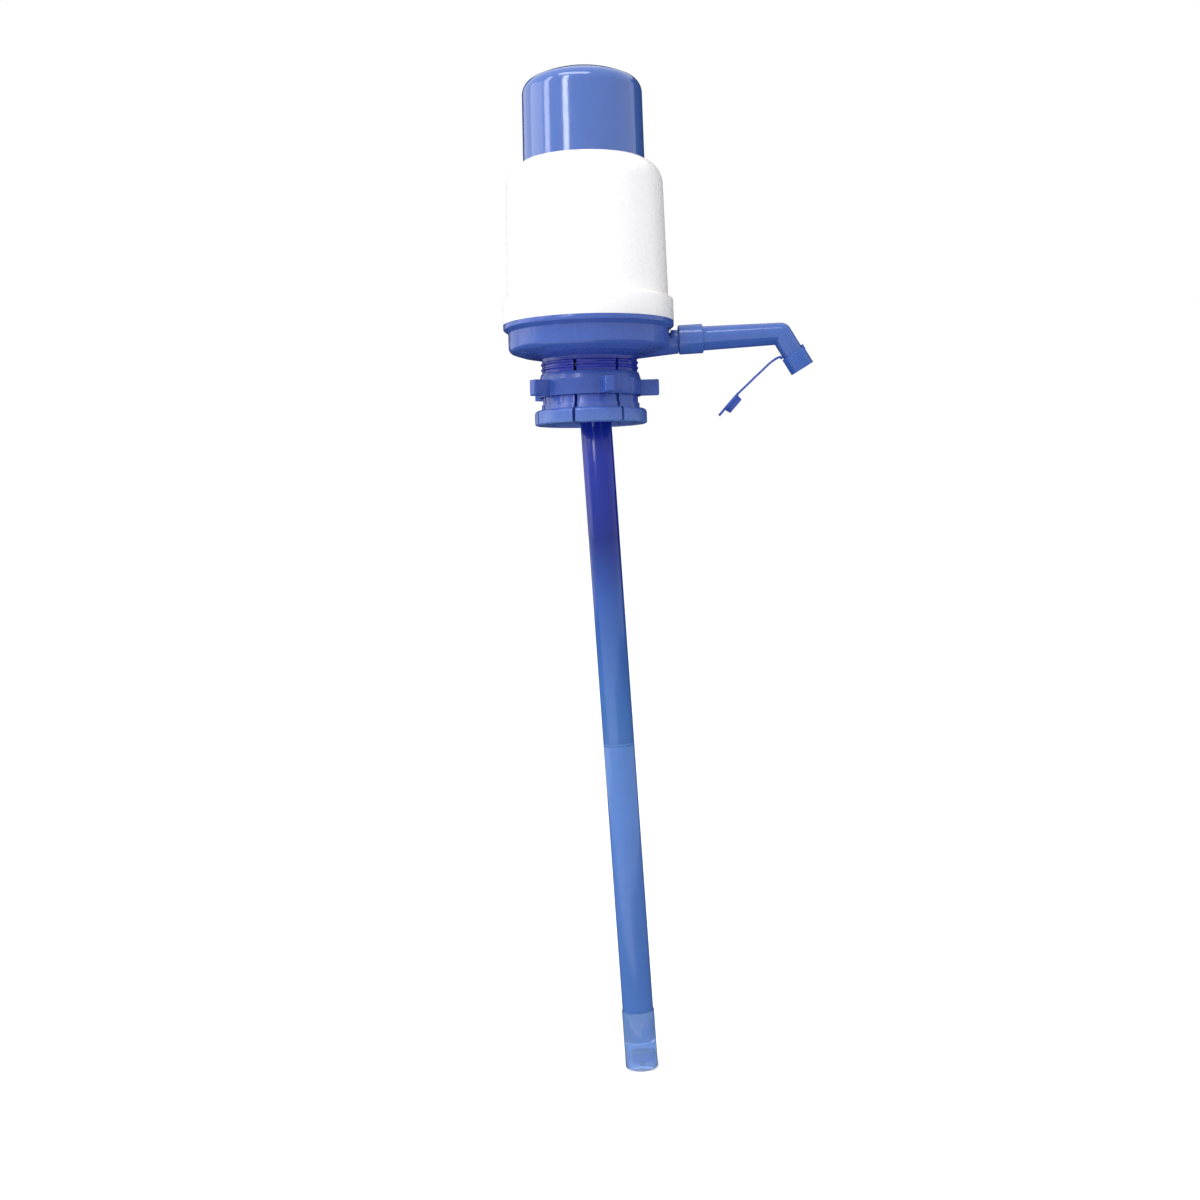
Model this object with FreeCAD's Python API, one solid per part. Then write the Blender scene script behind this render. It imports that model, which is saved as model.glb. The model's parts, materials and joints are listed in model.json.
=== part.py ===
import FreeCAD, Part
import math
import os

from FreeCAD import Vector

# A hand pump for a 19 litre water jug, in millimetres.
#
# The pump stands on the mouth of the jug. Z = 0 is the underside of the neck gasket, where the
# jug's rim bears, and the Z axis is the centre line of the jug's neck, pointing up. The spout
# leaves along +X. Inside, a sprung bellows draws water up the tube through a valve in its foot
# and drives it out through a valve in the spout's stub.

# Collar: seven sprung fingers that hook under the jug's crown, and the floor above them
crown_radius = 27.5
crown_clearance = 0.4
finger_wall = 2.8
finger_count = 7
finger_slot = 2.0
first_slot_angle = -4.3
slot_top = 4.0
collar_depth = 36.0
hook_depth = 2.0
hook_height = 7.5
lip_radius = 36.2
lip_height = 9.5
ledge_height = 3.5
ledge_step = 0.9
lip_foot_round = 1.2
lip_top_round = 2.6
hook_land = 3.0
finger_mouth_flare = 0.5
floor_underside = 2.0
floor_thickness = 4.5
ridge_height = 0.7
ridge_width = 1.4
ridge_pitch = 3.4
ridge_count = 2

# Clamp ring round the fingers
clamp_clearance = 0.3
clamp_wall = 2.0
clamp_drop = 18.1
clamp_height = 14.6
clamp_cone = 4.5
clamp_top_wall = 0.6
clamp_shoulder_round = 0.8
ear_count = 5
first_ear_angle = -1.5
ear_reach = 44.5
ear_width = 6.0
ear_height = 10.0
ear_round = 1.0

# Bowl: the pump's base
bowl_radius = 51.9
bowl_wall = 2.5
bowl_underside = 6.2
bowl_break_inset = 8.5
bowl_break_height = 8.6
bowl_break_round = 10.0
bowl_foot_round = 4.0
bowl_slope_thickening = 1.15
bowl_cavity_inset = 1.0
bowl_wall_foot = 11.4
rim_overhang = 3.1
rim_underside = 25.8
rim_thickness = 3.0
rim_slope = 2.4
rim_round = 1.0
upstand_height = 8.2
snap_bead = 0.5
snap_height = 4.6

# Suction spigot under the floor, a little off centre towards the spout, and the spring's seat
# round its bore above the floor
spigot_offset = 2.0
spigot_bore = 6.3
spigot_radius = 7.4
spigot_length = 18.0
spigot_bead_drop = 12.0
spigot_bead = 1.4
spigot_bead_land = 0.7
spring_boss_radius = 11.2
spring_boss_height = 2.5

# White outer shell
shell_fit = 0.1
band_wall = 3.1
band_height = 14.5
band_round = 1.6
band_slope = 1.0
shell_wall = 2.2
shell_draft = 1.8
shell_top = 131.6
shell_top_fall = 6.5
shoulder_round = 15.0
shell_step = 12.4
shell_step_lead = 3.0
guide_length = 8.0
guide_wall = 2.0

# Press cap and its pressure plate
cap_inset = 12.8
cap_draft = 0.7
cap_wall = 2.2
cap_clearance = 0.4
cap_crown = 191.7
cap_dome_radius = 76.0
cap_corner_round = 10.0
cap_flange = 4.0
cap_flange_height = 3.7
stop_gap = 0.3
plate_lip = 2.0
plate_thickness = 3.0
plate_rim_height = 4.0
plate_rim_wall = 1.8
plate_fit = 0.1
plate_edge_inset = 0.4
plate_rim_lead = 0.2

# Bellows, its retaining ring and the return spring inside it
bellows_flange = 1.6
bellows_neck = 4.4
bellows_inset = 7.0
bellows_fold_depth = 7.0
bellows_wall = 1.4
bellows_folds = 9
bellows_top_wall = 1.2
bellows_gap = 0.1
retainer_clearance = 0.2
retainer_width = 5.3
spring_wire = 0.9
spring_clearance = 0.4
spring_turns = 8
spring_sides = 6

# Neck gasket
gasket_bore = 19.0
gasket_edge_gap = 0.3

# Outlet stub, its valve and its O-ring
stub_height = 16.8
stub_start = 2.1
stub_rise = 2.0
stub_radius = 6.65
stub_length = 18.0
stub_passage = 3.2
fairing_drop = 2.0
fairing_radius = 8.5
fairing_end_radius = 6.7
fairing_length = 24.0
fairing_reach = 3.3
valve_seat_depth = 9.0
valve_chamber = 4.75
valve_disc_radius = 4.4
valve_disc_thickness = 1.2
valve_lift = 2.0
cage_length = 3.6
cage_wall = 1.1
cage_bar = 1.2
cage_fit = 0.02
o_ring_wire = 0.8
o_ring_place = 6.6
o_ring_groove_play = 0.1

# Spout: a sleeve on the stub, a tapered tube, a bend and a nozzle
sleeve_gap = 3.8
sleeve_length = 15.7
sleeve_radius = 9.4
sleeve_round = 0.8
swivel_clearance = 0.08
spout_start_radius = 7.8
spout_radius = 7.0
spout_bore = 4.7
spout_length = 70.0
nozzle_drop_angle = 59.5
nozzle_length = 26.6

# Tip sleeve pushed on the nozzle
tip_radius = 8.1
tip_length = 11.5
tip_round = 0.6
tip_fit = 0.05
tip_mouth_radius = 6.45
tip_mouth_depth = 5.5
tip_tongue_length = 1.8
tip_tongue_wall = 1.2
tip_tongue_root = 1.5

# Strap and stopper. The strap bends at two places, at the nozzle and part way along.
strap_width = 4.5
strap_thickness = 1.4
strap_barrel = 0.8
strap_joint_gap = 0.8
strap_root_height = 14.9
strap_root_offset = 1.0
strap_slope = 42.8
strap_reach = 43.4
strap_root_bend = 35.4
stopper_hang_angle = 42.3
stopper_disc_radius = 7.5
stopper_disc_thickness = 1.5
stopper_plug_radius = 6.2
stopper_plug_end_radius = 5.7
stopper_plug_height = 3.6
stopper_plug_wall = 1.2
stopper_seat_gap = 0.1
stopper_tab_length = 4.0
stopper_tab_width = 7.0

# Suction tube in two lengths, leaning a little towards the spout
tube_radius = 10.1
tube_wall = 1.5
tube_lean = 2.48
tube_fit = 0.02
tube_top_gap = 3.0
upper_tube_length = 242.2
lower_tube_length = 193.6
joiner_half_length = 15.0
joiner_collar = 1.6
joiner_wall = 1.3

# Foot on the tube's end, with its valve
foot_radius = 10.6
foot_socket = 19.1
foot_socket_fit = 0.05
foot_length = 37.1
foot_shoulder_radius = 7.5
foot_shoulder = 2.4
foot_chamber_radius = 9.0
foot_seat_place = 27.2
foot_seat_web = 1.8
foot_seat_height = 4.9
foot_seat_wall = 1.6
foot_seat_fit = 0.04
foot_hub_radius = 2.6
foot_spoke = 1.3
foot_spoke_count = 4
foot_window_radius = 5.9
foot_web_overlap = 0.5
poppet_radius = 6.7
poppet_thickness = 1.4
poppet_stem = 1.5
poppet_stem_clearance = 0.08
poppet_barb = 2.2
poppet_barb_height = 1.5
poppet_lift = 3.0
poppet_barb_gap = 0.1

# How far a cutter runs past the face that it opens, and how near counts as on a place
overrun = 1.0
nearness = 1e-3

# Sizes that follow from the ones above
finger_inner = crown_radius + crown_clearance
finger_outer = finger_inner + finger_wall
floor_top = floor_underside + floor_thickness
rim_top = rim_underside + rim_thickness
upstand_top = rim_top + upstand_height
bowl_inner = bowl_radius - bowl_wall
bowl_break_radius = bowl_radius - bowl_break_inset
rim_radius = bowl_radius + rim_overhang
band_inner = bowl_radius + shell_fit
band_radius = band_inner + band_wall
shell_foot_radius = band_inner
shell_top_radius = shell_foot_radius - shell_draft
step_height = rim_top + shell_step
cap_radius = band_inner - cap_inset
cap_top_radius = cap_radius - cap_draft
cap_flange_radius = cap_radius + cap_flange
guide_radius = cap_radius + cap_clearance
guide_foot = shell_top - guide_length
cap_flange_top = guide_foot - stop_gap
cap_foot = cap_flange_top - cap_flange_height
bellows_outer = band_inner - bellows_inset
bellows_inner = bellows_outer - bellows_fold_depth
bellows_top = cap_foot - plate_lip - bellows_gap
tube_bore = tube_radius - tube_wall

UP = Vector(0, 0, 1)


def turn(point, centre, degrees):
    """A point of the XZ plane turned about a centre, from X towards Z."""
    rotation = FreeCAD.Rotation(Vector(0, -1, 0), degrees)
    return centre + rotation.multVec(point - centre)


def heading(degrees):
    """The direction in the XZ plane that lies so many degrees above +X."""
    return turn(Vector(1, 0, 0), Vector(), degrees)


def turning_centre(start, end, degrees):
    """The centre about which a turn from X towards Z carries start to end."""
    chord = end - start
    aside = Vector(-chord.z, 0, chord.x)
    return (start + end) * 0.5 + aside * (0.5 / math.tan(math.radians(degrees / 2)))


# Places along the spout and the strap, all in the XZ plane
stub_root = Vector(bowl_radius + stub_start, 0, stub_height)
stub_heading = heading(stub_rise)
spout_bend = stub_root + stub_heading * spout_length
nozzle_heading = heading(-nozzle_drop_angle)
nozzle_inside = Vector(nozzle_heading.z, 0, -nozzle_heading.x)
tip_end = spout_bend + nozzle_heading * nozzle_length
strap_root = (
    tip_end
    - nozzle_heading * strap_root_height
    + nozzle_inside * (spout_radius + strap_root_offset)
)
stopper_place = strap_root + heading(180 + strap_slope) * strap_reach
stopper_heading = heading(-stopper_hang_angle)
stopper_turn = 180 - nozzle_drop_angle + stopper_hang_angle
strap_fold_bend = stopper_turn - strap_root_bend
stopper_home = tip_end + nozzle_heading * stopper_seat_gap
strap_fold = turning_centre(
    stopper_place, turn(stopper_home, strap_root, -strap_root_bend), strap_fold_bend
)

# Places along the suction tube
tube_heading = heading(-90 + tube_lean)
tube_pivot = Vector(spigot_offset, 0, floor_underside - spigot_bead_drop)
tube_top = tube_pivot - tube_heading * (spigot_bead_drop - tube_top_gap)
joiner_place = tube_top + tube_heading * upper_tube_length
lower_tube_top = joiner_place + tube_heading * joiner_collar
tube_end = lower_tube_top + tube_heading * lower_tube_length
foot_top = tube_end - tube_heading * foot_socket


def outline(corners):
    """A flat face in the XZ plane from (radius, height, round) corners in order.

    The third value is the radius that rounds the corner, 0 where it is sharp.
    """
    bends = []
    for index, (radius, height, rounding) in enumerate(corners):
        here = Vector(radius, 0, height)
        if not rounding:
            bends.append((here, here, here))
            continue
        before = corners[index - 1]
        after = corners[(index + 1) % len(corners)]
        back = (Vector(before[0], 0, before[1]) - here).normalize()
        ahead = (Vector(after[0], 0, after[1]) - here).normalize()
        half_angle = back.getAngle(ahead) / 2
        reach = rounding / math.tan(half_angle)
        inward = (back + ahead).normalize()
        middle = here + inward * (rounding / math.sin(half_angle) - rounding)
        bends.append((here + back * reach, middle, here + ahead * reach))
    edges = []
    for (start, middle, end), (following, _, _) in zip(bends, bends[1:] + bends[:1]):
        if not start.isEqual(end, 1e-6):
            edges.append(Part.Arc(start, middle, end).toShape())
        if not end.isEqual(following, 1e-6):
            edges.append(Part.makeLine(end, following))
    return Part.Face(Part.Wire(edges))


def turned(corners):
    """A solid turned about the Z axis from the corners of its half section."""
    return outline(corners).revolve(Vector(), UP, 360)


def placed(shape, base, direction):
    """A copy of a shape made on the Z axis, set at base with its Z along direction."""
    copy = shape.copy()
    copy.Placement = FreeCAD.Placement(base, FreeCAD.Rotation(UP, direction))
    return copy


def ring(inner, outer, bottom, top):
    """A plain ring or tube on the Z axis."""
    return turned([(inner, bottom, 0), (outer, bottom, 0), (outer, top, 0), (inner, top, 0)])


def rod(radius, bottom, top):
    """A round rod on the Z axis."""
    return Part.makeCylinder(radius, top - bottom, Vector(0, 0, bottom))


def cone(bottom_radius, top_radius, bottom, top):
    """A tapered rod on the Z axis."""
    return Part.makeCone(bottom_radius, top_radius, top - bottom, Vector(0, 0, bottom))


def bar(start, end, width, bottom, top):
    """A bar along X, from start to end, centred on the XZ plane."""
    return Part.makeBox(end - start, width, top - bottom, Vector(start, -width / 2, bottom))


def around(shape, count, first_angle=0.0):
    """Copies of a shape spaced evenly about the Z axis."""
    copies = []
    for index in range(count):
        copy = shape.copy()
        copy.rotate(Vector(), UP, first_angle + index * 360.0 / count)
        copies.append(copy)
    return copies


def base_outside():
    """The outside of collar and bowl, without the stub, as a filled solid of revolution."""
    lip_top = lip_height - collar_depth
    ledge_top = lip_top + ledge_height
    corners = [
        (0, -collar_depth, 0),
        (lip_radius, -collar_depth, lip_foot_round),
        (lip_radius, lip_top, lip_top_round),
        (finger_outer + ledge_step, lip_top, 0),
        (finger_outer + ledge_step, ledge_top, 0),
        (finger_outer, ledge_top, 0),
    ]
    ridge_foot = slot_top - (ridge_count - 1) * ridge_pitch - ridge_width
    for index in range(ridge_count):
        foot = ridge_foot + index * ridge_pitch
        corners += [
            (finger_outer, foot - ridge_height, 0),
            (finger_outer + ridge_height, foot, 0),
            (finger_outer + ridge_height, foot + ridge_width - ridge_height, 0),
            (finger_outer, foot + ridge_width, 0),
        ]
    bead_foot = rim_top + snap_height
    corners += [
        (finger_outer, bowl_underside, 0),
        (bowl_break_radius, bowl_break_height, bowl_break_round),
        (bowl_radius, bowl_wall_foot, bowl_foot_round),
        (bowl_radius, rim_underside - rim_slope, 0),
        (rim_radius, rim_underside, rim_round),
        (rim_radius, rim_top, 0),
        (bowl_radius, rim_top, 0),
        (bowl_radius, bead_foot, 0),
        (bowl_radius + snap_bead, bead_foot + snap_bead, 0),
        (bowl_radius, bead_foot + 3 * snap_bead, 0),
        (bowl_radius, upstand_top, 0),
        (0, upstand_top, 0),
    ]
    return turned(corners)


def bowl_cavity():
    """The space inside the bowl, open at the top."""
    lift = bowl_wall * bowl_slope_thickening
    return turned([
        (0, floor_top, 0),
        (finger_inner, floor_top, 0),
        (finger_outer, bowl_underside + lift, 0),
        (bowl_break_radius - bowl_cavity_inset, bowl_break_height + lift, 0),
        (bowl_inner, bowl_wall_foot + lift, 0),
        (bowl_inner, upstand_top, 0),
        (0, upstand_top, 0),
    ])


def neck_space():
    """The space inside the fingers that takes the neck of the jug."""
    hook_top = hook_height - collar_depth
    hook_radius = finger_inner - hook_depth
    return turned([
        (0, floor_underside, 0),
        (finger_inner, floor_underside, 0),
        (finger_inner, hook_top, 0),
        (hook_radius, hook_top - hook_depth, 0),
        (hook_radius, hook_top - hook_depth - hook_land, 0),
        (finger_inner + finger_mouth_flare, -collar_depth, 0),
        (0, -collar_depth, 0),
    ])


def spigot_outside():
    """The suction spigot with the bead that grips the tube, without its bore."""
    bead_radius = tube_bore - tube_fit
    end = floor_underside - spigot_length
    bead = floor_underside - spigot_bead_drop
    spigot = turned([
        (0, end, 0),
        (spigot_radius, end, 0),
        (spigot_radius, bead - spigot_bead, 0),
        (bead_radius, bead - spigot_bead_land / 2, 0),
        (bead_radius, bead + spigot_bead_land / 2, 0),
        (spigot_radius, bead + spigot_bead, 0),
        (spigot_radius, floor_top - overrun, 0),
        (0, floor_top - overrun, 0),
    ])
    spigot.translate(Vector(spigot_offset, 0, 0))
    return spigot


def stub_outside():
    """The outlet stub and the fairing under the bowl that carries it, along Z."""
    stub = rod(stub_radius, -overrun, stub_length)
    fairing = cone(fairing_radius, fairing_end_radius, -fairing_length, fairing_reach)
    fairing.translate(Vector(fairing_drop, 0, 0))
    return stub.fuse(fairing)


def stub_inside():
    """The outlet passage, the valve's chamber and the O-ring's groove, along Z."""
    passage = rod(stub_passage, -stub_start - 2 * bowl_wall, valve_seat_depth + overrun)
    chamber = rod(valve_chamber, valve_seat_depth, stub_length + overrun)
    half_groove = o_ring_wire + o_ring_groove_play
    groove_floor = stub_radius - 2 * o_ring_wire
    groove = ring(
        groove_floor,
        stub_radius + overrun,
        o_ring_place - half_groove,
        o_ring_place + half_groove,
    )
    return passage.fuse([chamber, groove])


def base_bowl():
    """Bowl, collar with its fingers, suction spigot and outlet stub: one moulding."""
    body = base_outside().fuse(placed(stub_outside(), stub_root, stub_heading))
    body = body.cut([bowl_cavity(), neck_space()])
    boss_top = floor_top + spring_boss_height
    body = body.fuse([rod(spring_boss_radius, floor_top - overrun, boss_top), spigot_outside()])
    slot_root = finger_inner - hook_depth - overrun
    slot_end = lip_radius + overrun
    slot = bar(slot_root, slot_end, finger_slot, -collar_depth - overrun, slot_top)
    bore = rod(spigot_bore, floor_underside - spigot_length - overrun, boss_top + overrun)
    bore.translate(Vector(spigot_offset, 0, 0))
    hollows = around(slot, finger_count, first_slot_angle)
    hollows += [bore, placed(stub_inside(), stub_root, stub_heading)]
    return body.cut(hollows)


def clamp_ring():
    """The ring that is turned by its ears to draw the fingers in."""
    inner = finger_outer + clamp_clearance
    outer = inner + clamp_wall
    top = clamp_height - clamp_drop
    body = turned([
        (inner, -clamp_drop, 0),
        (outer, -clamp_drop, 0),
        (outer, top - clamp_cone, clamp_shoulder_round),
        (inner + clamp_top_wall, top, 0),
        (inner, top, 0),
    ])
    ear = bar(inner + clamp_wall / 2, ear_reach, ear_width, -clamp_drop, ear_height - clamp_drop)
    tips = [edge for edge in ear.Edges if edge.BoundBox.XMin > ear_reach - nearness]
    return body.fuse(around(ear.makeFillet(ear_round, tips), ear_count, first_ear_angle))


def neck_gasket():
    """The rubber washer that the jug's rim bears on."""
    return ring(gasket_bore, finger_inner - gasket_edge_gap, 0, floor_underside)


def outer_shell():
    """The white housing: a band over the bowl's upstand, a tall wall and a rounded shoulder."""
    band_top = rim_top + band_height
    bead_foot = rim_top + snap_height
    groove = snap_bead + shell_fit
    inner_foot = shell_foot_radius - shell_wall
    inner_top = shell_top_radius - shell_wall
    slope = shell_top_fall / (shell_top_radius - guide_radius)
    roof_centre = shell_top + slope * guide_radius - shell_wall * math.hypot(1, slope)
    guide_outer = guide_radius + guide_wall
    return turned([
        (band_inner, rim_top, 0),
        (band_radius, rim_top, 0),
        (band_radius, band_top, band_round),
        (shell_foot_radius, band_top + band_slope, 0),
        (shell_top_radius, shell_top - shell_top_fall, shoulder_round),
        (guide_radius, shell_top, 0),
        (guide_radius, guide_foot, 0),
        (guide_outer, guide_foot, 0),
        (guide_outer, roof_centre - slope * guide_outer, 0),
        (inner_top, roof_centre - slope * inner_top, shoulder_round - shell_wall),
        (inner_foot, step_height + shell_step_lead, 0),
        (inner_foot, step_height, 0),
        (band_inner, step_height, 0),
        (band_inner, bead_foot + 3 * snap_bead + shell_fit, 0),
        (band_inner + groove, bead_foot + snap_bead, 0),
        (band_inner, bead_foot - shell_fit, 0),
    ])


def domed_plug(foot, shoulder, bottom, crown, dome, corner_round):
    """A round plug from its foot radius to its shoulder radius, with a dome above them."""
    half = shoulder / 2
    edge_height = crown - dome + math.sqrt(dome ** 2 - shoulder ** 2)
    half_height = crown - dome + math.sqrt(dome ** 2 - half ** 2)
    corner = Vector(shoulder, 0, edge_height)
    top = Vector(0, 0, crown)
    edge = Vector(foot, 0, bottom)
    middle = Vector(0, 0, bottom)
    edges = [
        Part.makeLine(middle, edge),
        Part.makeLine(edge, corner),
        Part.Arc(corner, Vector(half, 0, half_height), top).toShape(),
        Part.makeLine(top, middle),
    ]
    solid = Part.Face(Part.Wire(edges)).revolve(Vector(), UP, 360)
    rim = [
        edge for edge in solid.Edges
        if edge.Closed and abs(edge.CenterOfMass.z - edge_height) < nearness
    ]
    return solid.makeFillet(corner_round, rim)


def press_cap():
    """The blue cap that the hand presses, with the flange that stops it under the shell."""
    outside = domed_plug(
        cap_radius, cap_top_radius, cap_foot, cap_crown, cap_dome_radius, cap_corner_round
    )
    inside = domed_plug(
        cap_radius - cap_wall,
        cap_top_radius - cap_wall,
        cap_foot - overrun,
        cap_crown - cap_wall,
        cap_dome_radius - cap_wall,
        cap_corner_round - cap_wall,
    )
    flange = ring(cap_radius - cap_wall / 2, cap_flange_radius, cap_foot, cap_flange_top)
    return outside.fuse(flange).cut(inside)


def pressure_plate():
    """The plate snapped into the cap's mouth, which bears on the top of the bellows."""
    bottom = cap_foot - plate_lip
    edge = cap_radius - plate_edge_inset
    rim = cap_radius - cap_wall - plate_fit
    return turned([
        (0, bottom, 0),
        (edge, bottom, 0),
        (edge, cap_foot, 0),
        (rim, cap_foot, 0),
        (rim - plate_rim_lead, cap_foot + plate_rim_height, 0),
        (rim - plate_rim_wall, cap_foot + plate_rim_height, 0),
        (rim - plate_rim_wall, bottom + plate_thickness, 0),
        (0, bottom + plate_thickness, 0),
    ])


def bellows():
    """The folded pump chamber, closed at the top, with a flange that lies on the bowl."""
    flange_top = upstand_top + bellows_flange
    first_fold = flange_top + bellows_neck
    fold = (bellows_top - first_fold) / bellows_folds
    outside = [(bellows_outer, flange_top, 0)]
    inside = [(bellows_outer - bellows_wall, upstand_top, 0)]
    for index in range(bellows_folds + 1):
        radius = bellows_inner if index % 2 else bellows_outer
        height = first_fold + index * fold
        outside.append((radius, height, 0))
        if index < bellows_folds:
            inside.append((radius - bellows_wall, height, 0))
    inside.append((bellows_inner - bellows_wall, bellows_top - bellows_top_wall, 0))
    corners = [(bellows_outer - bellows_wall, upstand_top, 0), (bowl_radius, upstand_top, 0)]
    corners += [(bowl_radius, flange_top, 0)] + outside
    corners += [(0, bellows_top, 0), (0, bellows_top - bellows_top_wall, 0)]
    corners += list(reversed(inside))[:-1]
    return turned(corners)


def bellows_retainer():
    """The ring that the shell's inner step presses on the flange of the bellows."""
    return ring(
        band_inner - retainer_clearance - retainer_width,
        band_inner - retainer_clearance,
        upstand_top + bellows_flange,
        step_height,
    )


def return_spring():
    """The wire spring between the bowl's floor and the top of the bellows."""
    radius = spring_boss_radius + spring_clearance + spring_wire
    bottom = floor_top + spring_wire
    top = bellows_top - bellows_top_wall - spring_wire
    height = top - bottom
    helix = Part.makeHelix(height / spring_turns, height, radius)
    helix.translate(Vector(0, 0, bottom))
    corners = [
        Vector(radius + spring_wire * math.cos(angle), 0, bottom + spring_wire * math.sin(angle))
        for angle in [index * 2 * math.pi / spring_sides for index in range(spring_sides)]
    ]
    section = Part.makePolygon(corners + corners[:1])
    return Part.Wire(helix).makePipeShell([section], True, True)


def stub_o_ring():
    """The ring that seals the spout on its stub and holds it where it is turned."""
    torus = Part.makeTorus(stub_radius - o_ring_wire, o_ring_wire)
    return placed(torus, stub_root + stub_heading * o_ring_place, stub_heading)


def outlet_valve():
    """The rubber disc that opens as the bellows drives water out."""
    disc = rod(valve_disc_radius, 0, valve_disc_thickness)
    return placed(disc, stub_root + stub_heading * valve_seat_depth, stub_heading)


def outlet_valve_cage():
    """The ring with crossed bars, pressed into the stub, that keeps the disc in."""
    outer = valve_chamber - cage_fit
    body = ring(outer - cage_wall, outer, 0, cage_length)
    reach = outer - cage_wall / 2
    cross = around(bar(-reach, reach, cage_bar, 0, cage_bar), 4, 45)
    body = body.fuse(cross[:2])
    place = valve_seat_depth + valve_disc_thickness + valve_lift + stop_gap
    return placed(body, stub_root + stub_heading * place, stub_heading)


def spout_tube():
    """The swivelling spout: sleeve, tapered tube, bend and nozzle in one moulding."""
    step = sleeve_gap + sleeve_length
    sleeve = turned([
        (0, sleeve_gap, 0),
        (sleeve_radius, sleeve_gap, sleeve_round),
        (sleeve_radius, step, sleeve_round),
        (spout_start_radius, step, 0),
        (spout_radius, spout_length, 0),
        (0, spout_length, 0),
    ])
    socket = rod(stub_radius + swivel_clearance, sleeve_gap - overrun, stub_length + stop_gap)
    bore = rod(spout_bore, stub_length, spout_length)
    nozzle = placed(
        rod(spout_radius, 0, nozzle_length - tip_mouth_depth), spout_bend, nozzle_heading
    )
    nozzle_bore = placed(rod(spout_bore, 0, nozzle_length), spout_bend, nozzle_heading)
    outside = placed(sleeve, stub_root, stub_heading).fuse(
        [Part.makeSphere(spout_radius, spout_bend), nozzle]
    )
    inside = placed(socket.fuse(bore), stub_root, stub_heading).fuse(
        [Part.makeSphere(spout_bore, spout_bend), nozzle_bore]
    )
    return outside.cut(inside)


def tip_sleeve():
    """The sleeve on the nozzle's end, with the short tongue that carries the strap."""
    body = turned([
        (tip_mouth_radius, 0, 0),
        (tip_radius, 0, 0),
        (tip_radius, tip_length, tip_round),
        (spout_radius + tip_fit, tip_length, 0),
        (spout_radius + tip_fit, tip_mouth_depth, 0),
        (tip_mouth_radius, tip_mouth_depth, 0),
    ])
    tongue_start = spout_radius + tip_fit
    tongue = bar(
        tongue_start,
        tongue_start + tip_tongue_wall,
        strap_width,
        tip_length - tip_tongue_root,
        tip_length + tip_tongue_length,
    )
    hollow = rod(tongue_start, tip_mouth_depth, tip_length + tip_tongue_length + overrun)
    body = body.fuse(tongue).cut(hollow)
    return placed(body, tip_end, nozzle_heading * -1)


def strap_length(start, end, start_gap, end_gap):
    """A flat length of strap between two points, stopping short of each by its gap."""
    along = (end - start).normalize()
    length = (end - start).Length
    flat = Part.makeBox(
        strap_thickness,
        strap_width,
        length - start_gap - end_gap,
        Vector(-strap_thickness / 2, -strap_width / 2, start_gap),
    )
    return placed(flat, start, along)


def strap_barrel_at(point):
    """The round edge of a length of strap, where it bends."""
    return Part.makeCylinder(
        strap_barrel, strap_width, point - Vector(0, strap_width / 2, 0), Vector(0, 1, 0)
    )


def strap_upper():
    """The strap from the tip sleeve to its fold."""
    flat = strap_length(strap_root, strap_fold, 0, strap_barrel + strap_joint_gap)
    return flat.fuse(strap_barrel_at(strap_root))


def strap_lower():
    """The strap from its fold to the stopper."""
    edge = stopper_place - placed_x(stopper_heading) * stopper_disc_radius
    edge = edge - stopper_heading * (stopper_disc_thickness / 2)
    flat = strap_length(strap_fold, edge, 0, 0)
    return flat.fuse(strap_barrel_at(strap_fold)).cut(tip_stopper())


def placed_x(direction):
    """Where placed() puts a shape's own X for this direction of its Z."""
    return FreeCAD.Rotation(UP, direction).multVec(Vector(1, 0, 0))


def tip_stopper():
    """The stopper: a lid with a hollow tapered plug and a pull tab."""
    lid = rod(stopper_disc_radius, -stopper_disc_thickness, 0)
    plug = cone(stopper_plug_radius, stopper_plug_end_radius, 0, stopper_plug_height)
    hollow = rod(
        stopper_plug_end_radius - stopper_plug_wall, stopper_plug_wall, stopper_plug_height
    )
    tab = bar(
        0,
        stopper_disc_radius + stopper_tab_length,
        stopper_tab_width,
        -stopper_disc_thickness,
        0,
    )
    corners = [
        edge for edge in tab.Edges
        if min(vertex.X for vertex in edge.Vertexes) > stopper_disc_radius
        and abs(edge.Vertexes[0].Z - edge.Vertexes[1].Z) > stopper_disc_thickness / 2
    ]
    tab = tab.makeFillet(stopper_tab_width / 3, corners)
    body = lid.fuse([plug, tab]).cut(hollow)
    return placed(body, stopper_place, stopper_heading)


def suction_tube(top, length):
    """One length of the suction tube."""
    return placed(ring(tube_bore, tube_radius, 0, length), top, tube_heading)


def tube_joiner():
    """The sleeve inside both lengths of tube, with the collar that parts their ends."""
    outer = tube_bore - tube_fit
    inner = outer - joiner_wall
    body = turned([
        (inner, -joiner_half_length, 0),
        (outer, -joiner_half_length, 0),
        (outer, 0, 0),
        (tube_radius, 0, 0),
        (tube_radius, joiner_collar, 0),
        (outer, joiner_collar, 0),
        (outer, joiner_collar + joiner_half_length, 0),
        (inner, joiner_collar + joiner_half_length, 0),
    ])
    return placed(body, joiner_place, tube_heading)


def foot_housing():
    """The foot pushed over the tube's end: socket, shoulder and the valve's chamber."""
    socket = tube_radius + foot_socket_fit
    chamber_start = foot_socket + foot_shoulder
    body = turned([
        (socket, 0, 0),
        (foot_radius, 0, 0),
        (foot_radius, foot_length, 0),
        (foot_chamber_radius, foot_length, 0),
        (foot_chamber_radius, chamber_start, 0),
        (foot_shoulder_radius, chamber_start, 0),
        (foot_shoulder_radius, foot_socket, 0),
        (socket, foot_socket, 0),
    ])
    return placed(body, foot_top, tube_heading)


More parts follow.
